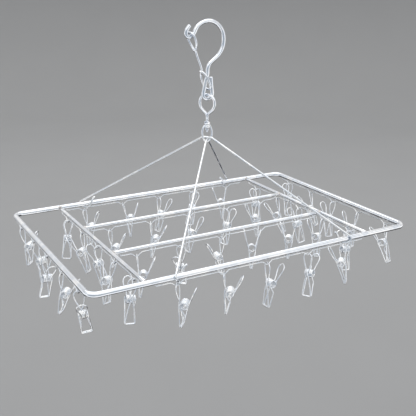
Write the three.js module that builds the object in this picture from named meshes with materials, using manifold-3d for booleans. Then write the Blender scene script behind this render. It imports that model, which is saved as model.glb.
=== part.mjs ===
// Clip drying hanger: a rectangular rod frame carrying forty wire spring clips,
// hung by two crossed suspension wires, a rotating bail, a swivel eye and a
// latching hook.  Millimetres, +Z up.  The origin is the inside top of the
// hook's bulb, where the hanger rests on a line, rail or rod.
import * as THREE from 'three';
import { mergeVertices } from 'three/addons/utils/BufferGeometryUtils.js';
import Module from 'manifold-3d';

const wasm = await Module();
wasm.setup();

// ---------------------------------------------------------------- dimensions
// everything below is laid out from the plane of the frame's rods (z = 0)
const HANG_HEIGHT = 309.3;      // inside top of the hook above the rod plane

const RING_X = 266;             // half length, rod centre line
const RING_Y = 174.15;          // half width, rod centre line
const RING_DIA = 8;
const RING_CORNER = 14;         // bend radius at the corners
const BAR_DIA = 5.5;
const CROSS_X = 188.4;          // cross bars between the long rails
const MID_Y = 58.05;            // two bars between the cross bars
const GAP = 0.3;                // gap left at each welded or resting contact

const HANG_DIA = 2.0;           // bent wire that carries the clips
const HANG_Z = -7.0;            // its straight runs
const V_DEPTH = 5.4;            // how far each bend dips
const V_SLOPE = 0.72;
const V_RADIUS = 4.0;
const STEP_X = 72.4;            // clip spacing along the long members
const STEP_Y = 66.0;            // clip spacing along the short members
const MID_FRONT_SHIFT = -5;     // the front middle wire sits a little left

const SUSP_DIA = 3.2;           // suspension wires
const SUSP_X = 144.8;           // where they hold the long rails
const SUSP_TOP = 133.4;         // lower one, resting in the bail
const SUSP_TOP_2 = 137.0;       // upper one, crossing over it
const SUSP_RUN = 6.6;           // half length of the level run at the top
const SUSP_STEP = 5.0;          // how far each end travels along its rail in its wrap

const BAIL_DIA = 3.0;
const BAIL_Z = 129.8;           // bottom of the bail
const WRAP_LOW = 151, WRAP_HIGH = 162.5, WRAP_IN = 2.05, WRAP_OUT = 4.8;

const EYE_DIA = 4.5;
const EYE_AZ = -63;             // plane of the eye, degrees
const STEM_NECK = 1.65;         // stem radius inside the bail's wraps
const HOOK_DIA = 6;
const LATCH_DIA = 3.5;
const LATCH_AZ = -72;           // plane of the latch's loops, degrees

const CLIP_DIA = 1.9;
const CLIP_A = 13.5;            // half spread of the two handles
const CLIP_H = 29.6;            // coil centre to handle top
const CLIP_J = 33.9;            // coil centre to jaw bar
const CLIP_SIDES = 4;            // faces on the clip's wire
const COIL_OUT = 6.35, COIL_LEN = 14.4;
const LOOP_LIFT = 2.5;          // clip loop above the wire bend it hangs on

// how every clip hangs: [yaw of the free handle, pitch, roll], degrees
const CLIPS = {
  left:        [[316, 7, 7], [284, -1, 7], [271, 15, -6], [318, 19, 7], [258, 18, 9]],
  left_cross:  [[69, 20, 5], [138, 21, 4], [100, 12, -10], [122, 4, 8], [84, 15, 7]],
  back:        [[313, 4, -2], [334, 1, 3], [4, 18, -3], [48, 19, 6], [152, 6, 7]],
  mid_back:    [[315, 10, 4], [327, 12, 9], [358, 16, -3], [22, 15, 0], [136, 9, -5]],
  mid_front:   [[332, 9, -4], [226, 18, 0], [180, 15, -5], [150, -1, 14], [136, 2, 3]],
  front:       [[316, 8, 7], [325, 9, 9], [355, 15, -6], [20, 19, -6], [133, 15, -6]],
  right:       [[72, 17, 1], [126, 27, 5], [97, 16, 9], [118, 8, 6], [119, 26, 12]],
  right_cross: [[76, 17, 0], [127, 29, 8], [95, 16, -6], [116, 12, 12], [83, 17, 5]],
};
// member: [runs along, fixed coordinate, radius of the rod above]
const MEMBERS = {
  left:        ['y', -RING_X, RING_DIA / 2],
  left_cross:  ['y', -CROSS_X, BAR_DIA / 2],
  back:        ['x', RING_Y, RING_DIA / 2],
  mid_back:    ['x', MID_Y, BAR_DIA / 2],
  mid_front:   ['x', -MID_Y, BAR_DIA / 2],
  front:       ['x', -RING_Y, RING_DIA / 2],
  right_cross: ['y', CROSS_X, BAR_DIA / 2],
  right:       ['y', RING_X, RING_DIA / 2],
};

const rad = (d) => d * Math.PI / 180;
const v3 = (x, y, z) => new THREE.Vector3(x, y, z);

// ---------------------------------------------------------------- wire tools
// A bent wire's centre line through given points, with a section at each one.
class WirePath extends THREE.Curve {
  constructor(points, closed = false) {
    super();
    this.points = points;
    this.closed = closed;
  }
  index(t) { return Math.round(t * (this.points.length - 1)); }
  getPoint(t, target = new THREE.Vector3()) { return target.copy(this.points[this.index(t)]); }
  getPointAt(t, target) { return this.getPoint(t, target); }
  getSpacedPoints() { return this.points.map((p) => p.clone()); }
  getTangentAt(t, target = new THREE.Vector3()) {
    const p = this.points, n = p.length, i = this.index(t);
    let a = i > 0 ? p[i].clone().sub(p[i - 1]).normalize() : null;
    let b = i < n - 1 ? p[i + 1].clone().sub(p[i]).normalize() : null;
    if (this.closed && !a) a = p[n - 1].clone().sub(p[n - 2]).normalize();
    if (this.closed && !b) b = p[1].clone().sub(p[0]).normalize();
    a = a || b; b = b || a;
    return target.copy(a).add(b).normalize();
  }
  getTangent(t, target) { return this.getTangentAt(t, target); }
}

function section(radius, sides) {
  const s = new THREE.Shape();
  for (let i = 0; i < sides; i++) {
    const a = (2 * Math.PI * (i + 0.5)) / sides;
    const x = radius * Math.cos(a), y = radius * Math.sin(a);
    if (i === 0) s.moveTo(x, y); else s.lineTo(x, y);
  }
  s.closePath();
  return s;
}

function bare(geometry) {
  const g = geometry.clone();
  for (const k of Object.keys(g.attributes)) if (k !== 'position') g.deleteAttribute(k);
  return mergeVertices(g, 1e-4);
}

function wire(points, dia, sides = 6) {
  return bare(new THREE.ExtrudeGeometry(section(dia / 2, sides), {
    steps: points.length - 1, bevelEnabled: false, extrudePath: new WirePath(points),
  }));
}

// A wire that closes on itself: the end lids are left off and the seam merged.
function closedWire(points, dia, sides = 6) {
  const pts = [...points, points[0].clone()];
  const g = new THREE.ExtrudeGeometry(section(dia / 2, sides), {
    steps: pts.length - 1, bevelEnabled: false, extrudePath: new WirePath(pts, true),
  });
  const sideGroup = g.groups.find((q) => q.materialIndex === 1);
  const flat = g.index ? g.toNonIndexed() : g;
  const all = flat.attributes.position.array;
  const out = new THREE.BufferGeometry();
  out.setAttribute('position', new THREE.BufferAttribute(
    all.slice(sideGroup.start * 3, (sideGroup.start + sideGroup.count) * 3), 3));
  return mergeVertices(out, 1e-3);
}

function solid(geometry) {
  const g = bare(geometry);
  return new wasm.Manifold(new wasm.Mesh({
    numProp: 3,
    vertProperties: new Float32Array(g.attributes.position.array),
    triVerts: new Uint32Array(g.index.array),
  }));
}

function shell(manifold) {
  const m = manifold.getMesh();
  const g = new THREE.BufferGeometry();
  g.setAttribute('position', new THREE.BufferAttribute(new Float32Array(m.vertProperties), 3));
  g.setIndex(new THREE.BufferAttribute(new Uint32Array(m.triVerts), 1));
  return g;
}

function join(...geometries) {
  let out = null;
  for (const g of geometries) {
    const s = solid(g);
    out = out ? out.add(s) : s;
  }
  return shell(out);
}

function ring(inner, outer, low, high, sides) {
  const g = new THREE.LatheGeometry([
    new THREE.Vector2(inner, low), new THREE.Vector2(outer, low),
    new THREE.Vector2(outer, high), new THREE.Vector2(inner, high),
    new THREE.Vector2(inner, low),
  ], sides);
  g.rotateX(Math.PI / 2);
  return g;
}

// points of a polyline with each inner corner rounded to a radius
function rounded(corners, radii, steps) {
  const out = [corners[0].clone()];
  for (let i = 1; i < corners.length - 1; i++) {
    const p = corners[i], r = radii[i], n = steps[i];
    if (!r) { out.push(p.clone()); continue; }
    const a = corners[i - 1].clone().sub(p).normalize();
    const b = corners[i + 1].clone().sub(p).normalize();
    const half = Math.acos(THREE.MathUtils.clamp(a.dot(b), -1, 1)) / 2;
    const back = r / Math.tan(half);
    const centre = p.clone().add(a.clone().add(b).normalize().multiplyScalar(r / Math.sin(half)));
    const s = p.clone().addScaledVector(a, back).sub(centre);
    const e = p.clone().addScaledVector(b, back).sub(centre);
    const full = Math.PI - 2 * half;
    for (let k = 0; k <= n; k++) {
      const f = (full * k) / n;
      const q = s.clone().multiplyScalar(Math.sin(full - f)).addScaledVector(e, Math.sin(f));
      out.push(centre.clone().addScaledVector(q, 1 / Math.sin(full)));
    }
  }
  out.push(corners[corners.length - 1].clone());
  return out;
}

// ---------------------------------------------------------------- materials
const STEEL = { color: 0xd9dde2, roughness: 0.2, metalness: 1.0 };
function steel(changes = {}) { return new THREE.MeshStandardMaterial({ ...STEEL, ...changes }); }

const hanger = new THREE.Group();
const lower = new THREE.Group();
lower.position.z = -HANG_HEIGHT;
hanger.add(lower);

function piece(name, geometry, material = steel()) {
  const m = new THREE.Mesh(geometry, material);
  m.name = name;
  lower.add(m);
  return m;
}

// ---------------------------------------------------------------- rod frame
{
  const c = RING_CORNER, pts = [];
  for (const [sx, sy, start] of [[1, 1, 0], [-1, 1, 90], [-1, -1, 180], [1, -1, 270]]) {
    for (let k = 0; k <= 4; k++) {
      const a = rad(start + 22.5 * k);
      pts.push(v3(sx * (RING_X - c) + c * Math.cos(a), sy * (RING_Y - c) + c * Math.sin(a), 0));
    }
  }
  piece('frame_ring', closedWire(pts, RING_DIA, 12));
}
{
  const len = 2 * (RING_Y - RING_DIA / 2 - GAP);
  for (const [name, x] of [['cross_bar_left', -CROSS_X], ['cross_bar_right', CROSS_X]]) {
    piece(name, new THREE.CylinderGeometry(BAR_DIA / 2, BAR_DIA / 2, len, 12)).position.x = x;
  }
  const span = 2 * (CROSS_X - BAR_DIA / 2 - GAP);
  for (const [name, y] of [['mid_bar_back', MID_Y], ['mid_bar_front', -MID_Y]]) {
    const m = piece(name, new THREE.CylinderGeometry(BAR_DIA / 2, BAR_DIA / 2, span, 12));
    m.rotation.z = Math.PI / 2;
    m.position.y = y;
  }
}

// ---------------------------------------------------------------- hang wires
const along = {};
for (const [row, [dir]] of Object.entries(MEMBERS)) {
  const shift = row === 'mid_front' ? MID_FRONT_SHIFT : 0;
  along[row] = [0, 1, 2, 3, 4].map((i) =>
    dir === 'x' ? (i - 2) * STEP_X + shift : (2 - i) * STEP_Y);
}
for (const [row, [dir, fixed, rodRadius]] of Object.entries(MEMBERS)) {
  const spots = [...along[row]].sort((a, b) => a - b);
  const end = dir === 'x' ? 177 : (row === 'left' || row === 'right' ? 158 : 161);
  const theta = Math.atan(V_SLOPE);
  const apex = V_DEPTH + V_RADIUS * (1 / Math.cos(theta) - 1);
  const half = apex / V_SLOPE;
  const drop = V_RADIUS * Math.sin(theta);
  const low = HANG_Z - V_DEPTH;
  const tip = -(rodRadius + 0.95);
  const flat = [[-end, tip], [-end + 1.2, (tip + HANG_Z) / 2 - 0.25], [-end + 3.2, HANG_Z]];
  for (const s of spots) {
    flat.push([s - half, HANG_Z], [s - drop, low + V_RADIUS * (1 - Math.cos(theta))], [s, low],
      [s + drop, low + V_RADIUS * (1 - Math.cos(theta))], [s + half, HANG_Z]);
  }
  flat.push([end - 3.2, HANG_Z], [end - 1.2, (tip + HANG_Z) / 2 - 0.25], [end, tip]);
  const pts = flat.map(([s, z]) => (dir === 'x' ? v3(s, fixed, z) : v3(fixed, s, z)));
  piece(`hang_wire_${row}`, wire(pts, HANG_DIA, 5), steel({ roughness: 0.24 }));
}

// ---------------------------------------------------------------- suspension
function suspension(sideX, top) {
  // one wire, in the vertical plane of a diagonal of its four holding points
  const reach = Math.hypot(SUSP_X, RING_Y);
  const ux = (sideX * SUSP_X) / reach, uy = RING_Y / reach;
  const r = RING_DIA / 2 + SUSP_DIA / 2 + GAP + 0.35;
  const rs = r / uy;
  // [run along the diagonal, height, step along the rail towards the middle]
  const half = [[SUSP_RUN, top, 0], [SUSP_RUN + 2.2, top - 0.6, 0], [SUSP_RUN + 3.8, top - 1.9, 0]];
  [52, 18, -16, -50, -84, -118, -152, -184].forEach((a, k) => {
    half.push([reach + rs * Math.cos(rad(a)), r * Math.sin(rad(a)), SUSP_STEP * k / 7]);
  });
  half.push([reach - rs - 0.2, 4.2, SUSP_STEP + 1.6], [reach - rs - 0.4, 7.6, SUSP_STEP + 3.4],
    [reach - rs + 0.2, 10.4, SUSP_STEP + 6.2], [reach - rs + 0.8, 11.6, SUSP_STEP + 9.2]);
  const at = (end) => ([s, z, step]) => v3(end * (s * ux - sideX * step), end * s * uy, z);
  return wire([...[...half].reverse().map(at(-1)), ...half.map(at(1))], SUSP_DIA, 8);
}
piece('suspension_wire_lower', suspension(1, SUSP_TOP));     // front left to back right
piece('suspension_wire_upper', suspension(-1, SUSP_TOP_2));  // front right to back left

// ---------------------------------------------------------------- bail
{
  const legs = [[-3.5, 159.5], [-5.1, 156.4], [-7.6, 151.8], [-8.6, 145.5], [-8.0, 140], [-6.2, 135],
    [-3.4, 131.2], [0, BAIL_Z], [3.6, 131.2], [6.6, 134.4], [8.6, 139.5], [8.6, 144.5],
    [7.4, 149.6], [5.1, 155.2], [3.5, 158.5]];
  const loop = wire(legs.map(([x, z]) => v3(x, 0, z)), BAIL_DIA, 8);
  const wraps = solid(ring(WRAP_IN, WRAP_OUT, WRAP_LOW, WRAP_HIGH, 16));
  const bore = new THREE.CylinderGeometry(WRAP_IN, WRAP_IN, 40, 16);
  bore.rotateX(Math.PI / 2);
  bore.translate(0, 0, (WRAP_LOW + WRAP_HIGH) / 2 + 10);
  piece('bail', shell(solid(loop).subtract(solid(bore)).add(wraps)));
}

// ---------------------------------------------------------------- swivel eye
{
  const az = rad(EYE_AZ);
  const at = ([w, z]) => v3(w * Math.cos(az), w * Math.sin(az), z);
  const loop = [[0, 163], [0, 170.2], [-1.3, 173.2], [-6.9, 178.0], [-12.1, 183.6], [-13.6, 190.6],
    [-11.8, 197.2], [-7.1, 201.5], [0, 203.2], [7.1, 201.5], [11.8, 196.8], [13.4, 190.2],
    [11.6, 182.4], [6.4, 177.6], [1.7, 174.0]];
  const eye = wire(loop.map(at), EYE_DIA, 10);
  const stem = new THREE.LatheGeometry([
    new THREE.Vector2(0, 145), new THREE.Vector2(STEM_NECK, 145), new THREE.Vector2(STEM_NECK, 147.2),
    new THREE.Vector2(2.5, 147.9), new THREE.Vector2(2.5, 150.6), new THREE.Vector2(STEM_NECK, 150.6),
    new THREE.Vector2(STEM_NECK, 163), new THREE.Vector2(2.2, 163.6), new THREE.Vector2(2.2, 168),
    new THREE.Vector2(0, 168),
  ], 12);
  stem.rotateX(Math.PI / 2);
  piece('swivel_eye', join(eye, stem));
}

// ---------------------------------------------------------------- hook
const HOOK = [[-30.5, 306.7], [-35.6, 300.3], [-36.6, 294.8], [-34.6, 291.0], [-30.7, 289.8],
  [-27.2, 291.3], [-24, 294.6], [-18.4, 304], [-9.9, 309.8], [0.3, 312.3], [10.6, 310.6],
  [19.3, 305], [25.4, 296.4], [27.6, 287.7], [26.9, 277.2], [23.5, 268.3], [17.2, 260.4],
  [9.2, 254.2], [2.8, 248.8], [0.3, 242.6], [-0.2, 234], [-2.6, 226], [-5.4, 213.3],
  [-7.0, 205.0], [-6.0, 200.4], [-3.1, 197.6], [0.9, 196.6], [4.9, 197.7], [7.5, 200.4],
  [8.3, 204.4], [6.8, 218], [5.8, 230]];
piece('hook', wire(HOOK.map(([x, z]) => v3(x, 0, z)), HOOK_DIA, 10));

// ---------------------------------------------------------------- latch link
{
  // two loops on one rod, in one plane that leans with the rod
  const az = rad(LATCH_AZ);
  const side = v3(Math.cos(az), Math.sin(az), 0);
  const top = v3(-30.8, 0, 296.1), low = v3(1.0, 0, 211.6);
  const axis = low.clone().sub(top).normalize();
  const total = low.distanceTo(top);
  const at = ([w, s]) => top.clone().addScaledVector(side, w).addScaledVector(axis, s);
  const upper = [[3.2, 24.6], [-0.4, 26.6], [-1.2, 25.2], [-5.6, 19.2], [-7.3, 12], [-7.1, 5.2], [-4.6, 1.4],
    [0, 0], [4.6, 1.4], [7.1, 5.2], [7.3, 12], [5.2, 19.4], [1.2, 26.2], [0, 28.4]];
  const bottom = [[0, total - 31.6], [-1.2, total - 29], [-5.4, total - 24], [-7.1, total - 17],
    [-7.2, total - 7.4], [-5.2, total - 1.8], [0, total], [5.2, total - 1.8], [7.2, total - 7.4],
    [7.1, total - 17], [5.6, total - 23], [1.2, total - 28.4], [-2.6, total - 29.6]];
  piece('latch_link', shell(solid(wire([...upper, ...bottom].map(at), LATCH_DIA, 8))));
}

// ---------------------------------------------------------------- clips
function clipGeometry() {
  const coil = new THREE.LatheGeometry([
    new THREE.Vector2(COIL_OUT - CLIP_DIA, -COIL_LEN / 2), new THREE.Vector2(COIL_OUT, -COIL_LEN / 2),
    new THREE.Vector2(COIL_OUT, COIL_LEN / 2), new THREE.Vector2(COIL_OUT - CLIP_DIA, COIL_LEN / 2),
    new THREE.Vector2(COIL_OUT - CLIP_DIA, -COIL_LEN / 2)], 9);   // axis along y
  const handle = (side, neck) => {
    // teardrop handle: narrow at the coil, widest near its rounded top
    const n = v3(side * 5.9, 0, 0), t = v3(side * CLIP_A, 0, CLIP_H);
    const d = n.clone().sub(t);
    const f = (u, y) => t.clone().addScaledVector(d, u / 28.8).add(v3(0, y, 0));
    return wire([f(28.8, -neck), f(8.5, -6.7), f(2.7, -5.3), f(0.1, -2.1), f(0.1, 2.1),
      f(2.7, 5.3), f(8.5, 6.7), f(28.8, neck)], CLIP_DIA, CLIP_SIDES);
  };
  const bar = CLIP_DIA / 2 + 0.2;
  const jawHang = wire([v3(-5.6, -1.6, 1), v3(-bar, -6.8, -CLIP_J),
    v3(-bar, 6.8, -CLIP_J), v3(-5.6, 1.6, 1)], CLIP_DIA, CLIP_SIDES);
  const jawFree = wire([v3(-4.2, -6.2, -3.2), v3(3.1, -6.3, -12.3), v3(bar, -6.8, -CLIP_J),
    v3(bar, 6.8, -CLIP_J), v3(3.1, 6.3, -12.3), v3(-4.2, 6.2, -3.2)], CLIP_DIA, CLIP_SIDES);
  let all = solid(coil);
  for (const g of [handle(-1, 1.6), handle(1, 2.4), jawHang, jawFree]) all = all.add(solid(g));
  return shell(all.simplify(0.06));
}
const CLIP = clipGeometry();
for (const [row, [dir, fixed]] of Object.entries(MEMBERS)) {
  CLIPS[row].forEach(([yaw, pitch, roll], i) => {
    const s = along[row][i];
    const m = piece(`clip_${row}_${i + 1}`, CLIP.clone(), steel({ roughness: 0.26 }));
    m.rotation.set(rad(roll), rad(pitch), rad(yaw), 'ZYX');
    m.position.copy(v3(CLIP_A, 0, -CLIP_H).applyEuler(m.rotation))
      .add((dir === 'x' ? v3(s, fixed, 0) : v3(fixed, s, 0)).setZ(HANG_Z - V_DEPTH + LOOP_LIFT));
  });
}

export default hanger;
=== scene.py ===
import bpy, math
import numpy as np
from mathutils import Matrix, Vector


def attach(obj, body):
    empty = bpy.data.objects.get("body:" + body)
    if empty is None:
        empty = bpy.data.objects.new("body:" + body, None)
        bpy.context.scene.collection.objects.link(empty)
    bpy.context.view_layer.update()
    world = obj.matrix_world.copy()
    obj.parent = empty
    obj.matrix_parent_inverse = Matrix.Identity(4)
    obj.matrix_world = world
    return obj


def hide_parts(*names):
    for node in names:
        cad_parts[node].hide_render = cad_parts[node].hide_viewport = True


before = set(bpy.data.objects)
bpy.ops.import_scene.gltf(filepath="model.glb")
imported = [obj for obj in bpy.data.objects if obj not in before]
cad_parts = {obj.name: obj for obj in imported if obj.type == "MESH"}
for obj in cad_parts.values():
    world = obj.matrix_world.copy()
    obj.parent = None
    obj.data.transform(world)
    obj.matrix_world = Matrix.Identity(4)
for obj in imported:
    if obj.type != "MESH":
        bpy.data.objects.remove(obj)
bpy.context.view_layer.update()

Z0 = -309.3          # plane of the rods below the origin, mm
MM = 0.001
D = math.radians

# ------------------------------------------------------------------ curves
def arr(p):
    return np.array(p, float)


def catmull(P, n=6, closed=False):
    """Centripetal Catmull-Rom through the points."""
    P = arr(P)
    if closed:
        Q = np.vstack([P[-1], P, P[0], P[1]])
    else:
        Q = np.vstack([2 * P[0] - P[1], P, 2 * P[-1] - P[-2]])
    out = []
    for i in range(1, len(Q) - 2):
        p0, p1, p2, p3 = Q[i - 1], Q[i], Q[i + 1], Q[i + 2]
        d1 = max(np.linalg.norm(p1 - p0) ** .5, 1e-6)
        d2 = max(np.linalg.norm(p2 - p1) ** .5, 1e-6)
        d3 = max(np.linalg.norm(p3 - p2) ** .5, 1e-6)
        t0, t1, t2, t3 = 0, d1, d1 + d2, d1 + d2 + d3
        for k in range(n):
            t = t1 + (t2 - t1) * k / n
            a1 = (t1 - t) / (t1 - t0) * p0 + (t - t0) / (t1 - t0) * p1
            a2 = (t2 - t) / (t2 - t1) * p1 + (t - t1) / (t2 - t1) * p2
            a3 = (t3 - t) / (t3 - t2) * p2 + (t - t2) / (t3 - t2) * p3
            b1 = (t2 - t) / (t2 - t0) * a1 + (t - t0) / (t2 - t0) * a2
            b2 = (t3 - t) / (t3 - t1) * a2 + (t - t1) / (t3 - t1) * a3
            out.append((t2 - t) / (t2 - t1) * b1 + (t - t1) / (t2 - t1) * b2)
    if not closed:
        out.append(P[-1])
    return np.array(out)


def fillets(P, R, n=6, closed=False):
    """A polyline with arcs of radius R[i] at its corners."""
    P = arr(P)
    N = len(P)
    out = []
    for i in range(N):
        r = R[i] if hasattr(R, "__len__") else R
        if not closed and (i == 0 or i == N - 1) or not r:
            out.append(P[i])
            continue
        a = P[i - 1] - P[i]; b = P[(i + 1) % N] - P[i]
        a /= np.linalg.norm(a); b /= np.linalg.norm(b)
        half = math.acos(max(-1, min(1, float(a @ b)))) / 2
        if half > math.pi / 2 - 1e-3:
            out.append(P[i])
            continue
        back = r / math.tan(half)
        w = a + b
        c = P[i] + w / np.linalg.norm(w) * r / math.sin(half)
        s = P[i] + a * back - c; e = P[i] + b * back - c
        full = math.pi - 2 * half
        for k in range(n + 1):
            f = full * k / n
            out.append(c + (s * math.sin(full - f) + e * math.sin(f)) / math.sin(full))
    return np.array(out)


def spread(P, step):
    """Extra points on long straight runs."""
    out = [P[0]]
    for a, b in zip(P[:-1], P[1:]):
        n = max(1, int(math.ceil(np.linalg.norm(b - a) / step)))
        for k in range(1, n + 1):
            out.append(a + (b - a) * k / n)
    return np.array(out)


# ------------------------------------------------------------------ meshes
class Build:
    def __init__(self):
        self.v, self.f, self.uv, self.n = [], [], [], 0

    def add(self, verts, faces, uvs):
        self.v.append(verts)
        for q in faces:
            self.f.append([i + self.n for i in q])
        self.uv += uvs
        self.n += len(verts)

    def tube(self, P, r, sides=16, closed=False, chamfer=0.28, shift=(0, 0, 0)):
        P = arr(P) + arr(shift)
        keep = [0]
        for i in range(1, len(P)):
            if np.linalg.norm(P[i] - P[keep[-1]]) > 1e-3:
                keep.append(i)
        P = P[keep]
        if closed and np.linalg.norm(P[0] - P[-1]) < 1e-3:
            P = P[:-1]
        N = len(P)
        if closed:
            T = np.roll(P, -1, 0) - np.roll(P, 1, 0)
        else:
            T = np.gradient(P, axis=0)
        T /= np.linalg.norm(T, axis=1)[:, None]
        ref = arr([0, 0, 1]) if abs(T[0][2]) < .8 else arr([1, 0, 0])
        n0 = np.cross(T[0], ref); n0 /= np.linalg.norm(n0)
        frames = [n0]
        for i in range(1, N):
            n0 = n0 - T[i] * (n0 @ T[i])
            n0 /= np.linalg.norm(n0)
            frames.append(n0)
        twist = 0.0
        if closed:
            n1 = n0 - T[0] * (n0 @ T[0]); n1 /= np.linalg.norm(n1)
            b0 = np.cross(T[0], frames[0])
            twist = math.atan2(n1 @ b0, n1 @ frames[0])
        R = r if hasattr(r, "__len__") else [r] * N
        length = np.concatenate([[0], np.cumsum(np.linalg.norm(np.diff(P, axis=0), axis=1))])
        ang = np.arange(sides) * 2 * math.pi / sides
        rows, vs = [], []
        sections = []
        if not closed:
            c = min(chamfer * R[0], R[0] * .6)
            sections.append((P[0], 0, R[0] - c, 0))
            sections.append((P[0] + T[0] * c, 0, R[0], c))
            for i in range(1, N - 1):
                sections.append((P[i], i, R[i], length[i]))
            c = min(chamfer * R[-1], R[-1] * .6)
            sections.append((P[-1] - T[-1] * c, N - 1, R[-1], length[-1] - c))
            sections.append((P[-1], N - 1, R[-1] - c, length[-1]))
        else:
            for i in range(N):
                sections.append((P[i], i, R[i], length[i]))
        for p, i, rr, l in sections:
            nn = frames[i]; bb = np.cross(T[i], nn)
            a = ang - twist * (i / N if closed else 0)
            vs.append(p + rr * (np.cos(a)[:, None] * nn + np.sin(a)[:, None] * bb))
            rows.append(l)
        verts = np.vstack(vs)
        M = len(sections)
        faces, uvs = [], []
        last = M if closed else M - 1
        total = length[-1] + np.linalg.norm(P[0] - P[-1])
        for i in range(last):
            j = (i + 1) % M
            v0, v1 = rows[i], rows[j] if j else total
            for k in range(sides):
                k2 = (k + 1) % sides
                faces.append([i * sides + k, i * sides + k2, j * sides + k2, j * sides + k])
                u0, u1 = k / sides, (k + 1) / sides
                uvs += [(u0, v0 * .05), (u1, v0 * .05), (u1, v1 * .05), (u0, v1 * .05)]
        if not closed:
            faces.append(list(range(sides))[::-1])
            uvs += [(.5 + .2 * math.cos(a), .2 * math.sin(a)) for a in ang[::-1]]
            faces.append([(M - 1) * sides + k for k in range(sides)])
            uvs += [(.5 + .2 * math.cos(a), .2 * math.sin(a)) for a in ang]
        self.add(verts, faces, uvs)
        return self

    def lathe(self, profile, centre=(0, 0, 0), axis=(0, 0, 1), sides=24):
        """profile: [(radius, height)], closed at both ends on the axis."""
        ax = arr(axis); ax /= np.linalg.norm(ax)
        ref = arr([1, 0, 0]) if abs(ax[0]) < .8 else arr([0, 1, 0])
        n = np.cross(ref, ax); n /= np.linalg.norm(n)
        b = np.cross(ax, n)
        ang = np.arange(sides) * 2 * math.pi / sides
        verts, c = [], arr(centre)
        for r, h in profile:
            verts.append(c + ax * h + r * (np.cos(ang)[:, None] * n + np.sin(ang)[:, None] * b))
        faces, uvs = [], []
        for i in range(len(profile) - 1):
            for k in range(sides):
                k2 = (k + 1) % sides
                faces.append([i * sides + k, i * sides + k2, (i + 1) * sides + k2, (i + 1) * sides + k])
                u0, u1 = k / sides, (k + 1) / sides
                h0, h1 = profile[i][1] * .05, profile[i + 1][1] * .05
                uvs += [(u0, h0), (u1, h0), (u1, h1), (u0, h1)]
        M = len(profile)
        faces.append(list(range(sides))[::-1]); uvs += [(.5, .0)] * sides
        faces.append([(M - 1) * sides + k for k in range(sides)]); uvs += [(.5, .0)] * sides
        self.add(np.vstack(verts), faces, uvs)
        return self

    def object(self, name, material, local=False):
        v = np.vstack(self.v).copy()
        if not local:
            v[:, 2] += Z0
        v *= MM
        me = bpy.data.meshes.new(name)
        me.from_pydata(v.tolist(), [], self.f)
        uv = me.uv_layers.new(name="wire")
        flat = np.array(self.uv, np.float32).ravel()
        uv.data.foreach_set("uv", flat)
        me.polygons.foreach_set("use_smooth", [len(f) == 4 for f in self.f])
        me.update()
        me.materials.append(material)
        o = bpy.data.objects.new(name, me)
        bpy.context.scene.collection.objects.link(o)
        return o


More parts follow.
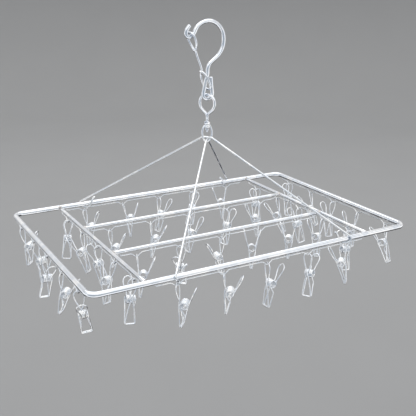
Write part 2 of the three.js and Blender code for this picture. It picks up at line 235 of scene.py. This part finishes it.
# ------------------------------------------------------------------ steel
def steel(name, colour, dark, rough, spread_, line=0.25, grain=260.0, tint=(0.80, 0.86, 0.95)):
    """Polished stainless wire: drawing lines along it, faint cloudy polish, light handling marks."""
    m = bpy.data.materials.new(name)
    m.use_nodes = True
    nt = m.node_tree
    nt.nodes.clear()
    new = nt.nodes.new
    out = new("ShaderNodeOutputMaterial"); bsdf = new("ShaderNodeBsdfPrincipled")
    nt.links.new(bsdf.outputs[0], out.inputs[0])
    bsdf.inputs["Metallic"].default_value = 1.0
    uv = new("ShaderNodeUVMap"); uv.uv_map = "wire"
    tc = new("ShaderNodeTexCoord")
    # drawing lines: tight across the wire, long along it
    mp = new("ShaderNodeMapping"); mp.inputs["Scale"].default_value = (38.0, 0.9, 1.0)
    nt.links.new(uv.outputs[0], mp.inputs[0])
    lines = new("ShaderNodeTexNoise"); lines.inputs["Scale"].default_value = 1.0
    lines.inputs["Detail"].default_value = 5.0; lines.inputs["Roughness"].default_value = .6
    nt.links.new(mp.outputs[0], lines.inputs["Vector"])
    # cloudy polish
    cloud = new("ShaderNodeTexNoise"); cloud.inputs["Scale"].default_value = grain * .18
    cloud.inputs["Detail"].default_value = 4.0
    nt.links.new(tc.outputs["Object"], cloud.inputs["Vector"])
    # fine pits and handling marks
    pits = new("ShaderNodeTexNoise"); pits.inputs["Scale"].default_value = grain * 5
    pits.inputs["Detail"].default_value = 3.0
    nt.links.new(tc.outputs["Object"], pits.inputs["Vector"])
    ramp = new("ShaderNodeValToRGB")
    ramp.color_ramp.elements[0].position = .30; ramp.color_ramp.elements[0].color = (*dark, 1)
    ramp.color_ramp.elements[1].position = .62; ramp.color_ramp.elements[1].color = (*colour, 1)
    e = ramp.color_ramp.elements.new(.45)
    e.color = (*[.5 * (a * t + b) for a, b, t in zip(colour, dark, tint)], 1)
    nt.links.new(cloud.outputs["Fac"], ramp.inputs[0])
    mix = new("ShaderNodeMix"); mix.data_type = 'RGBA'; mix.blend_type = 'MULTIPLY'
    mix.inputs["Factor"].default_value = line
    nt.links.new(ramp.outputs[0], mix.inputs["A"])
    lr = new("ShaderNodeValToRGB")
    lr.color_ramp.elements[0].position = .35; lr.color_ramp.elements[0].color = (.72, .74, .78, 1)
    lr.color_ramp.elements[1].position = .60; lr.color_ramp.elements[1].color = (1, 1, 1, 1)
    nt.links.new(lines.outputs["Fac"], lr.inputs[0])
    nt.links.new(lr.outputs[0], mix.inputs["B"])
    nt.links.new(mix.outputs["Result"], bsdf.inputs["Base Color"])
    rr = new("ShaderNodeMapRange")
    rr.inputs["From Min"].default_value = .3; rr.inputs["From Max"].default_value = .7
    rr.inputs["To Min"].default_value = rough; rr.inputs["To Max"].default_value = rough + spread_
    add = new("ShaderNodeMath"); add.operation = 'MULTIPLY_ADD'
    add.inputs[1].default_value = .5
    nt.links.new(lines.outputs["Fac"], add.inputs[0])
    half = new("ShaderNodeMath"); half.operation = 'MULTIPLY'; half.inputs[1].default_value = .5
    nt.links.new(cloud.outputs["Fac"], half.inputs[0])
    nt.links.new(half.outputs[0], add.inputs[2])
    nt.links.new(add.outputs[0], rr.inputs[0])
    nt.links.new(rr.outputs[0], bsdf.inputs["Roughness"])
    b1 = new("ShaderNodeBump"); b1.inputs["Strength"].default_value = .10; b1.inputs["Distance"].default_value = .00012
    nt.links.new(lines.outputs["Fac"], b1.inputs["Height"])
    b2 = new("ShaderNodeBump"); b2.inputs["Strength"].default_value = .05; b2.inputs["Distance"].default_value = .00008
    nt.links.new(pits.outputs["Fac"], b2.inputs["Height"])
    nt.links.new(b1.outputs[0], b2.inputs["Normal"])
    nt.links.new(b2.outputs[0], bsdf.inputs["Normal"])
    return m


M_ROD = steel("rod_steel", (.92, .92, .92), (.78, .79, .80), .05, .10)
M_BAR = steel("bar_steel", (.91, .91, .91), (.77, .78, .79), .07, .11)
M_WIRE = steel("wire_steel", (.93, .93, .92), (.78, .79, .79), .16, .16, line=.35)
M_HOOK = steel("hook_steel", (.92, .92, .92), (.78, .79, .80), .07, .12)
M_CLIP = steel("clip_steel", (.97, .97, .96), (.86, .86, .86), .18, .14, line=.3, grain=420.0)
M_WELD = steel("weld_steel", (.74, .73, .72), (.46, .46, .48), .26, .2, line=.15, grain=900.0, tint=(.95, .86, .78))

pieces = {}


def put(obj, body, *nodes, slot=None):
    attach(obj, body)
    if nodes:
        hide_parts(*nodes)
    pieces[obj.name] = obj
    return obj


# ------------------------------------------------------------------ frame
RING_X, RING_Y, CROSS_X, MID_Y = 266, 174.15, 188.4, 58.05
ring = fillets([(RING_X, RING_Y, 0), (-RING_X, RING_Y, 0), (-RING_X, -RING_Y, 0), (RING_X, -RING_Y, 0)],
               14, 14, closed=True)
ring = spread(np.vstack([ring, ring[:1]]), 26)[:-1]
put(Build().tube(ring, 4, 32, closed=True).object("vis_frame_ring", M_ROD), "frame", "frame_ring", slot="rod_steel")
for name, x in (("cross_bar_left", -CROSS_X), ("cross_bar_right", CROSS_X)):
    b = Build().tube(spread(arr([(x, -RING_Y + 2.2, 0), (x, RING_Y - 2.2, 0)]), 22), 2.75, 24)
    put(b.object("vis_" + name, M_BAR), "frame", name, slot="bar_steel")
for name, y in (("mid_bar_back", MID_Y), ("mid_bar_front", -MID_Y)):
    b = Build().tube(spread(arr([(-CROSS_X + 1.4, y, 0), (CROSS_X - 1.4, y, 0)]), 22), 2.75, 24)
    put(b.object("vis_" + name, M_BAR), "frame", name, slot="bar_steel")

# weld fillets where a bar meets the rod it is butted to
def fillet_weld(b, p, axis, bar_r, rod_r):
    prof = [(bar_r * .2, -1.6)]
    for k in range(9):
        t = k / 8
        # from the rod's wall up the bar, hollow like a real fillet
        prof.append((bar_r + .06 + 1.25 * (1 - math.sin(t * math.pi / 2)) ** 1.0, -.9 + 2.5 * (1 - math.cos(t * math.pi / 2))))
    prof.append((bar_r * .6, 1.7))
    b.lathe(prof, p, axis, 28)


w = Build()
for sx in (-1, 1):
    for sy in (-1, 1):
        fillet_weld(w, (sx * CROSS_X, sy * (RING_Y - 3.9), 0), (0, -sy, 0), 2.75, 4)
        fillet_weld(w, (sx * (CROSS_X - 2.7), sy * MID_Y, 0), (-sx, 0, 0), 2.75, 2.75)
put(w.object("bar_welds", M_WELD), "frame", slot="bar_steel")

# ------------------------------------------------------------------ hang wires
MEMBERS = {
    "left": ("y", -RING_X, 4.0), "left_cross": ("y", -CROSS_X, 2.75), "back": ("x", RING_Y, 4.0),
    "mid_back": ("x", MID_Y, 2.75), "mid_front": ("x", -MID_Y, 2.75), "front": ("x", -RING_Y, 4.0),
    "right_cross": ("y", CROSS_X, 2.75), "right": ("y", RING_X, 4.0)}
HANG_Z, V_DEPTH, V_SLOPE, V_RADIUS = -7.0, 5.4, .72, 4.0
spots = {}
tack = Build()
for row, (d, fixed, rod) in MEMBERS.items():
    sh = -5.0 if row == "mid_front" else 0.0
    s = [(i - 2) * 72.4 + sh if d == "x" else (2 - i) * 66.0 for i in range(5)]
    spots[row] = s
    end = 177.0 if d == "x" else (158.0 if row in ("left", "right") else 161.0)
    th = math.atan(V_SLOPE)
    apex = V_DEPTH + V_RADIUS * (1 / math.cos(th) - 1)
    half = apex / V_SLOPE
    tip = -(rod + .75)
    pts, rad = [(-end, tip), (-end + 2.6, HANG_Z)], [0, 3.0]
    for q in sorted(s):
        pts += [(q - half, HANG_Z), (q, HANG_Z - apex), (q + half, HANG_Z)]
        rad += [3.0, V_RADIUS, 3.0]
    pts += [(end - 2.6, HANG_Z), (end, tip)]
    rad += [3.0, 0]
    P3 = [(a, fixed, z) if d == "x" else (fixed, a, z) for a, z in pts]
    P = spread(fillets(P3, rad, 7), 14)
    put(Build().tube(P, .90, 12).object("vis_hang_wire_" + row, M_WIRE), "frame", "hang_wire_" + row, slot="wire_steel")
    for sg in (-1, 1):      # tack weld between wire end and rod
        c = (sg * (end - .2), fixed, -rod - .35) if d == "x" else (fixed, sg * (end - .2), -rod - .35)
        tack.lathe([(.15, -1.05), (.75, -.8), (1.15, -.35), (1.3, .1), (1.15, .5), (.6, .8)], c, (0, 0, 1), 14)
put(tack.object("tack_welds", M_WELD), "frame", slot="wire_steel")


# ------------------------------------------------------------------ suspension
def suspension(side, top):
    """One wire in the plane of a diagonal; each end wraps its rail, travelling along it, and stands up inside it."""
    step = 5.0
    reach = math.hypot(144.8, RING_Y)
    ux, uy = side * 144.8 / reach, RING_Y / reach
    r = 4 + 1.6 + .45
    rs = r / uy
    half = [(0, top, 0), (4.5, top, 0), (7.6, top - .35, 0), (9.4, top - 1.15, 0), (11.0, top - 2.2, 0)]
    line0, line1 = arr([11.0, top - 2.2]), arr([reach + rs * math.cos(D(52)), r * math.sin(D(52))])
    for k in range(1, 8):
        q = line0 + (line1 - line0) * k / 8
        half.append((q[0], q[1], 0))
    for k in range(21):
        g = 52 - 236 * k / 20
        half.append((reach + rs * math.cos(D(g)), r * math.sin(D(g)), step * max(0, k - 1) / 19))
    half += [(reach - rs - .2, 4.2, step + 1.6), (reach - rs - .4, 7.6, step + 3.4),
             (reach - rs + .2, 10.4, step + 6.2), (reach - rs + .8, 11.6, step + 9.2)]

    def at(end, q):
        return end * (q[0] * ux - side * q[2]), end * q[0] * uy, q[1]
    return catmull([at(-1, q) for q in half[:0:-1]] + [at(1, q) for q in half], 3)


put(Build().tube(suspension(1, 133.4), 1.6, 16).object("vis_suspension_wire_lower", M_WIRE), "frame",
    "suspension_wire_lower", slot="wire_steel")
put(Build().tube(suspension(-1, 137.0), 1.6, 16).object("vis_suspension_wire_upper", M_WIRE), "frame",
    "suspension_wire_upper", slot="wire_steel")


# ------------------------------------------------------------------ bail
def helix(r, z0, z1, a0, turns, n=24):
    k = max(2, int(abs(turns) * n))
    return [(r * math.cos(a0 + 2 * math.pi * turns * i / k), r * math.sin(a0 + 2 * math.pi * turns * i / k),
             z0 + (z1 - z0) * i / k) for i in range(k + 1)]


loop = [(-5.3, -1.2, 155.0), (-7.5, -.3, 151.6), (-8.6, 0, 145.5), (-8.0, 0, 140), (-6.2, 0, 135), (-3.4, 0, 131.2),
        (0, 0, 129.8), (3.6, 0, 131.2), (6.6, 0, 134.4), (8.6, 0, 139.5), (8.6, 0, 144.5), (7.4, 0, 149.6),
        (5.4, .6, 154.4)]
bail_b = Build()
bail_b.tube(catmull(helix(3.4, 152.5, 161.0, math.pi, 3.0), 2), 1.42, 14)
bail_b.tube(catmull([(-1.8, -3.0, 153.6), (-4.0, -1.9, 154.6)] + [(x, y * .3, z) for x, y, z in loop[:1]] + loop[1:-1]
                    + [(5.4, .4, 154.6), (4.0, 1.6, 158.2), (1.6, 3.2, 160.0)], 5), 1.5, 16)
put(bail_b.object("vis_bail", M_HOOK), "bail", "bail", slot="hook_steel")

# ------------------------------------------------------------------ swivel eye
az = D(-63)
eye = [(0, 163), (0, 167), (-.1, 170.2), (-1.5, 173.4), (-6.7, 177.8), (-11.8, 183.4), (-13.6, 190.6),
       (-11.8, 197.2), (-7.1, 201.6), (0, 203.2), (7.1, 201.6), (11.8, 196.9), (13.4, 190.2), (11.4, 182.8),
       (6.6, 177.6), (3.4, 175.2), (1.9, 173.4)]
E = catmull([(w * math.cos(az), w * math.sin(az), z) for w, z in eye], 6)
eb = Build().tube(E, 2.25, 20)
eb.lathe([(.4, 145), (1.3, 145.0), (1.65, 145.4), (1.65, 147.2), (2.1, 147.5), (2.45, 147.9), (2.5, 148.4),
          (2.5, 150.1), (2.3, 150.55), (1.65, 150.62), (1.65, 163), (2.0, 163.3), (2.25, 163.8), (2.25, 168.6),
          (1.0, 168.8)], (0, 0, 0), (0, 0, 1), 28)
put(eb.object("vis_swivel_eye", M_HOOK), "swivel_eye", "swivel_eye", slot="hook_steel")

# ------------------------------------------------------------------ hook
HOOK = [(-30.5, 306.7), (-35.6, 300.3), (-36.6, 294.8), (-34.6, 291.0), (-30.7, 289.8),
        (-27.2, 291.3), (-24, 294.6), (-18.4, 304), (-9.9, 309.8), (0.3, 312.3), (10.6, 310.6),
        (19.3, 305), (25.4, 296.4), (27.6, 287.7), (26.9, 277.2), (23.5, 268.3), (17.2, 260.4),
        (9.2, 254.2), (2.8, 248.8), (0.3, 242.6), (-0.2, 234), (-2.6, 226), (-5.4, 213.3),
        (-7.0, 205.0), (-6.0, 200.4), (-3.1, 197.6), (0.9, 196.6), (4.9, 197.7), (7.5, 200.4),
        (8.3, 204.4), (6.8, 218), (5.8, 230)]
put(Build().tube(catmull([(x, 0, z) for x, z in HOOK], 8), 3.0, 28).object("vis_hook", M_HOOK), "hook", "hook",
    slot="hook_steel")

# ------------------------------------------------------------------ latch
la = D(-72)
side = arr([math.cos(la), math.sin(la), 0]); top = arr([-30.8, 0, 296.1]); low = arr([1.0, 0, 211.6])
ax = low - top; total = float(np.linalg.norm(ax)); ax /= total
out_ = np.cross(side, ax)
upper = [(3.4, 24.2, 1.6), (.6, 26.6, 2.6), (-1.6, 25.2, 1.2), (-5.4, 19.2, 0), (-7.2, 12, 0), (-7.1, 5.4, 0),
         (-4.7, 1.4, 0), (0, 0, 0), (4.7, 1.4, 0), (7.1, 5.4, 0), (7.3, 12, 0), (5.4, 19.4, 0), (1.6, 25.8, 0), (0, 29.4, 0)]
bottom = [(0, total - 32.6, 0), (-1.4, total - 29, 0), (-5.4, total - 24, 0), (-7.0, total - 17, 0),
          (-7.2, total - 7.4, 0), (-5.2, total - 1.8, 0), (0, total, 0), (5.2, total - 1.8, 0), (7.2, total - 7.4, 0),
          (7.1, total - 17, 0), (5.6, total - 22.6, 0), (2.0, total - 27.6, .8), (-.8, total - 29.6, 2.4),
          (-3.4, total - 29.0, 1.4)]
L = [top + side * w + ax * s + out_ * q * -1 for w, s, q in upper + bottom]
put(Build().tube(catmull(L, 6), 1.75, 18).object("vis_latch_link", M_HOOK), "latch", "latch_link", slot="hook_steel")


# ------------------------------------------------------------------ clips
# how every clip hangs: yaw of its working handle, pitch, roll, degrees
CLIPS = {
    "left":       [[316, 7, 7], [284, -1, 7], [271, 15, -6], [318, 19, 7], [258, 18, 9]],
    "left_cross": [[69, 20, 5], [138, 21, 4], [100, 12, -10], [122, 4, 8], [84, 15, 7]],
    "back":       [[313, 4, -2], [334, 1, 3], [4, 18, -3], [48, 19, 6], [152, 6, 7]],
    "mid_back":   [[315, 10, 4], [327, 12, 9], [358, 16, -3], [22, 15, 0], [136, 9, -5]],
    "mid_front":  [[332, 9, -4], [226, 18, 0], [180, 15, -5], [150, -1, 14], [136, 2, 3]],
    "front":      [[316, 8, 7], [325, 9, 9], [355, 15, -6], [20, 19, -6], [133, 15, -6]],
    "right":      [[72, 17, 1], [126, 27, 5], [97, 16, 9], [118, 8, 6], [119, 26, 12]],
    "right_cross":[[76, 17, 0], [127, 29, 8], [95, 16, -6], [116, 12, 12], [83, 17, 5]],
}
A, H, J, RW, RC = 13.5, 29.6, 33.9, .89, 5.4


def clip_build():
    b = Build()
    # hanging lever: teardrop, crossing beside the coil, down to its jaw bar
    t, n = arr([-A, 0, H + .2]), arr([-6.2, 0, 0])
    d = (n - t) / 28.8

    def hf(u, y, dx=0.0):
        return t + d * u + arr([dx, y, 0])
    top_l = [hf(10.5, -6.35), hf(6.2, -6.6), hf(2.7, -5.3), hf(.7, -2.9), hf(0, 0), hf(.7, 2.9), hf(2.7, 5.3),
             hf(6.2, 6.6), hf(10.5, 6.35), hf(16, 4.9), hf(22.5, 2.6, -.4)]
    bar = RW + .12
    P = top_l + [arr([-7.35, -.1, 0]), arr([-6.4, -2.6, -7.1]), arr([-4.3, -4.8, -17]), arr([-2.0, -6.4, -27.9])]
    low1 = fillets([(-2.0, -6.4, -27.9), (-bar, -7.1, -J), (-bar, 7.1, -J), (-2.0, 6.4, -27.9)], [0, 1.7, 1.7, 0], 5)
    up = [arr([-4.3, 4.8, -17]), arr([-6.0, 2.5, -7.1]), arr([-5.7, .2, 0]), hf(22.5, -2.6, .3), hf(16, -4.9)]
    path = catmull(P + [low1[i] for i in range(2, len(low1) - 2)] + [arr([-2.0, 6.4, -27.9])] + up, 4, closed=True)
    b.tube(path, RW, 10, closed=True)
    # working handle: teardrop whose legs run into the coil
    t2, n2 = arr([A, 0, H]), arr([5.7, 0, 0])
    d2 = (n2 - t2) / 28.8

    def ff(u, y):
        return t2 + d2 * u + arr([0, y, 0])
    def dive(sg):
        return [arr([5.42 * math.cos(D(a)), sg * (2.35 + .012 * (8 - a)), 5.42 * math.sin(D(a))]) for a in (-6, -30, -56, -84)]
    left = [ff(u, y) for u, y in ((23, 2.9), (16, 4.6), (10.5, 6.3), (6.2, 6.6), (2.7, 5.3), (.7, 2.9))]
    right = [ff(u, -y) for u, y in ((.7, 2.9), (2.7, 5.3), (6.2, 6.6), (10.5, 6.3), (16, 4.6), (23, 2.9))]
    b.tube(catmull(dive(1)[::-1] + left + [ff(0, 0)] + right + dive(-1), 4), RW, 10)
    # coil and the jaw that its two ends run down to
    turns = 6.0
    a0, a1 = D(217.5), D(217.5) - 2 * math.pi * turns - D(217.5 + 10.4 - 360 + 360) 
    k = 26 * 7
    hel = []
    for i in range(k + 1):
        a = a0 + (a1 - a0) * i / k
        hel.append(arr([RC * math.cos(a), -6.2 + 12.4 * i / k, RC * math.sin(a)]))
    f1 = fillets([(-4.3, -6.25, -3.3), (3.1, -6.4, -12.3), (bar + .05, -7.1, -J), (bar + .05, 7.1, -J), (3.3, 6.4, -12.3),
                  (5.35, 6.25, -1.2)], [0, 3.0, 1.7, 1.7, 5.0, 0], 6)
    f1 = spread(f1, 6)
    ring_ = list(hel) + list(f1[::-1][1:-1])
    b.tube(np.array(ring_), RW, 10, closed=True)
    return b


clip_parts = clip_build()
for row, (d, fixed, rod) in MEMBERS.items():
    for i, (yaw, pitch, roll) in enumerate(CLIPS[row]):
        q = spots[row][i]
        hang = Vector((q, fixed, 0) if d == "x" else (fixed, q, 0))
        hang.z = HANG_Z - V_DEPTH + 2.5 + Z0
        turn = Matrix.Rotation(D(yaw), 4, 'Z') @ Matrix.Rotation(D(pitch), 4, 'Y') @ Matrix.Rotation(D(roll), 4, 'X')
        name = f"clip_{row}_{i + 1}"
        o = clip_parts.object("vis_" + name, M_CLIP, local=True)
        o.data.transform(Matrix.Translation((hang + turn @ Vector((A, 0, -H))) * MM) @ turn)
        put(o, name, name, slot="clip_steel")

# ------------------------------------------------------------------ stage
def stage_material():
    m = bpy.data.materials.new("studio_floor")
    m.use_nodes = True
    nt = m.node_tree
    b = nt.nodes["Principled BSDF"]
    b.inputs["Roughness"].default_value = .85
    tc = nt.nodes.new("ShaderNodeTexCoord")
    n = nt.nodes.new("ShaderNodeTexNoise"); n.inputs["Scale"].default_value = 3
    r = nt.nodes.new("ShaderNodeValToRGB")
    r.color_ramp.elements[0].color = (.300, .302, .305, 1); r.color_ramp.elements[1].color = (.316, .318, .321, 1)
    nt.links.new(tc.outputs["Object"], n.inputs["Vector"])
    nt.links.new(n.outputs["Fac"], r.inputs[0]); nt.links.new(r.outputs[0], b.inputs["Base Color"])
    return m


FLOOR = -.95
prof = [(0.0, FLOOR), (1.2, FLOOR), (2.6, FLOOR), (4.0, FLOOR)]
for k in range(1, 13):
    g = math.pi / 2 * k / 12
    prof.append((4.0 + 1.3 * math.sin(g), FLOOR + 1.3 * (1 - math.cos(g))))
prof.append((5.3, 2.1))
SEG = 96
verts, faces = [(0, 0, FLOOR)], []
for s, z in prof[1:]:
    for k in range(SEG):
        g = 2 * math.pi * k / SEG
        verts.append((s * math.cos(g), s * math.sin(g), z))
for k in range(SEG):
    faces.append((0, 1 + k, 1 + (k + 1) % SEG))
for i in range(len(prof) - 2):
    for k in range(SEG):
        p, q = 1 + i * SEG, 1 + (i + 1) * SEG
        faces.append((p + k, q + k, q + (k + 1) % SEG, p + (k + 1) % SEG))
me = bpy.data.meshes.new("studio_floor")
me.from_pydata(verts, [], faces)
me.polygons.foreach_set("use_smooth", [True] * len(faces))
me.materials.append(stage_material())
floor = bpy.data.objects.new("studio_floor", me)
bpy.context.scene.collection.objects.link(floor)
floor.visible_glossy = False      # the steel mirrors the tent, not the backdrop

# ------------------------------------------------------------------ light
def softbox(name, loc, target, size, power, colour=(1, 1, 1)):
    li = bpy.data.lights.new(name, 'AREA')
    li.shape = 'RECTANGLE'; li.size, li.size_y = size
    li.energy = power; li.color = colour
    o = bpy.data.objects.new(name, li)
    o.location = loc
    o.rotation_euler = (Vector(target) - Vector(loc)).to_track_quat('-Z', 'Y').to_euler()
    o.visible_camera = False
    bpy.context.scene.collection.objects.link(o)
    return o


CAM_AZ = -120.21        # direction of the camera in plan, degrees


softbox("key_top", (.6, 1.5, 3.4), (0, .3, -.4), (5.0, 3.6), 74)

# A soft tent of light.  Its shading is fixed in the room: white walls, a cool ceiling, a dim floor,
# so the polished steel shows a highlight, a cool band and a dark lower edge.
world = bpy.data.worlds.new("studio")
bpy.context.scene.world = world
world.use_nodes = True
wn = world.node_tree
bg = wn.nodes["Background"]


def wnode(kind, op=None, *values):
    n = wn.nodes.new(kind)
    if op:
        n.operation = op
    for k, v in enumerate(values):
        if isinstance(v, bpy.types.NodeSocket):
            wn.links.new(v, n.inputs[k])
        else:
            n.inputs[k].default_value = v
    return n


def wramp(factor, stops):
    r = wn.nodes.new("ShaderNodeValToRGB")
    r.color_ramp.interpolation = 'EASE'
    e = r.color_ramp.elements
    e[0].position, e[0].color = stops[0][0], (*stops[0][1], 1)
    e[1].position, e[1].color = stops[-1][0], (*stops[-1][1], 1)
    for p, c in stops[1:-1]:
        q = e.new(p)
        q.color = (*c, 1)
    wn.links.new(factor, r.inputs[0])
    return r.outputs[0]


g_ = D(CAM_AZ)
ray = wnode("ShaderNodeTexCoord").outputs["Generated"]
near = wnode("ShaderNodeVectorMath", 'DOT_PRODUCT', ray, (math.cos(g_), math.sin(g_), 0)).outputs["Value"]
across = wnode("ShaderNodeVectorMath", 'DOT_PRODUCT', ray, (-math.sin(g_), math.cos(g_), 0)).outputs["Value"]
high = wnode("ShaderNodeVectorMath", 'DOT_PRODUCT', ray, (0, 0, 1)).outputs["Value"]
turn_ = wnode("ShaderNodeMath", 'ARCTAN2', high, near).outputs[0]
turn_ = wnode("ShaderNodeMath", 'MULTIPLY_ADD', turn_, 1 / (2 * math.pi), .5).outputs[0]


def st(deg):
    return (deg + 180) / 360


round_ = wramp(turn_, [
    (st(-180), (.40, .40, .41)), (st(-158), (.34, .34, .35)), (st(-142), (.02, .02, .022)), (st(-98), (.02, .02, .022)),
    (st(-86), (.90, .90, .90)), (st(-54), (1.0, 1.0, 1.0)), (st(-38), (.36, .39, .43)), (st(12), (.34, .38, .43)),
    (st(30), (1.0, 1.0, 1.0)), (st(86), (1.0, 1.0, 1.0)), (st(108), (.56, .57, .58)), (st(138), (.62, .62, .63)),
    (st(156), (.76, .76, .76)), (st(180), (.40, .40, .41))])
sides = wramp(wnode("ShaderNodeMath", 'MULTIPLY_ADD', high, .5, .5).outputs[0], [
    (0.0, (.04, .04, .042)), (.14, (.06, .06, .062)), (.23, (.40, .40, .41)), (.31, (.90, .90, .90)), (.46, (1.0, 1.0, 1.0)),
    (.58, (.72, .73, .74)), (.66, (.40, .43, .47)), (.80, (.95, .95, .96)), (1.0, (1.0, 1.0, 1.0))])
far_side = wnode("ShaderNodeMapRange")
far_side.interpolation_type = 'SMOOTHSTEP'
far_side.inputs["From Min"].default_value, far_side.inputs["From Max"].default_value = .72, .95
wn.links.new(wnode("ShaderNodeMath", 'ABSOLUTE', across).outputs[0], far_side.inputs[0])
both = wn.nodes.new("ShaderNodeMix")
both.data_type = 'RGBA'
wn.links.new(far_side.outputs[0], both.inputs["Factor"])
wn.links.new(round_, both.inputs["A"])
wn.links.new(sides, both.inputs["B"])
wn.links.new(both.outputs["Result"], bg.inputs[0])
bg.inputs[1].default_value = 1.3

# ------------------------------------------------------------------ camera
cam = bpy.data.cameras.new("camera")
cam.sensor_width = 36
cam.lens = 675.58 / 416 * 36
cam.clip_end = 50
co = bpy.data.objects.new("camera", cam)
a, e, roll = D(-30.21), D(18.59), D(.53)
bk = Vector((math.sin(a) * math.cos(e), -math.cos(a) * math.cos(e), math.sin(e)))
rt = Vector((math.cos(a), math.sin(a), 0))
up_ = bk.cross(rt)
r_ = math.cos(roll) * rt + math.sin(roll) * up_
u_ = -math.sin(roll) * rt + math.cos(roll) * up_
m = Matrix.Identity(4)
for i in range(3):
    m[i][0], m[i][1], m[i][2] = r_[i], u_[i], bk[i]
m.translation = Vector((-518.43, -895.58, 368.41 + Z0)) * MM
co.matrix_world = m
bpy.context.scene.collection.objects.link(co)
bpy.context.scene.camera = co
bpy.context.scene.view_settings.view_transform = 'Standard'
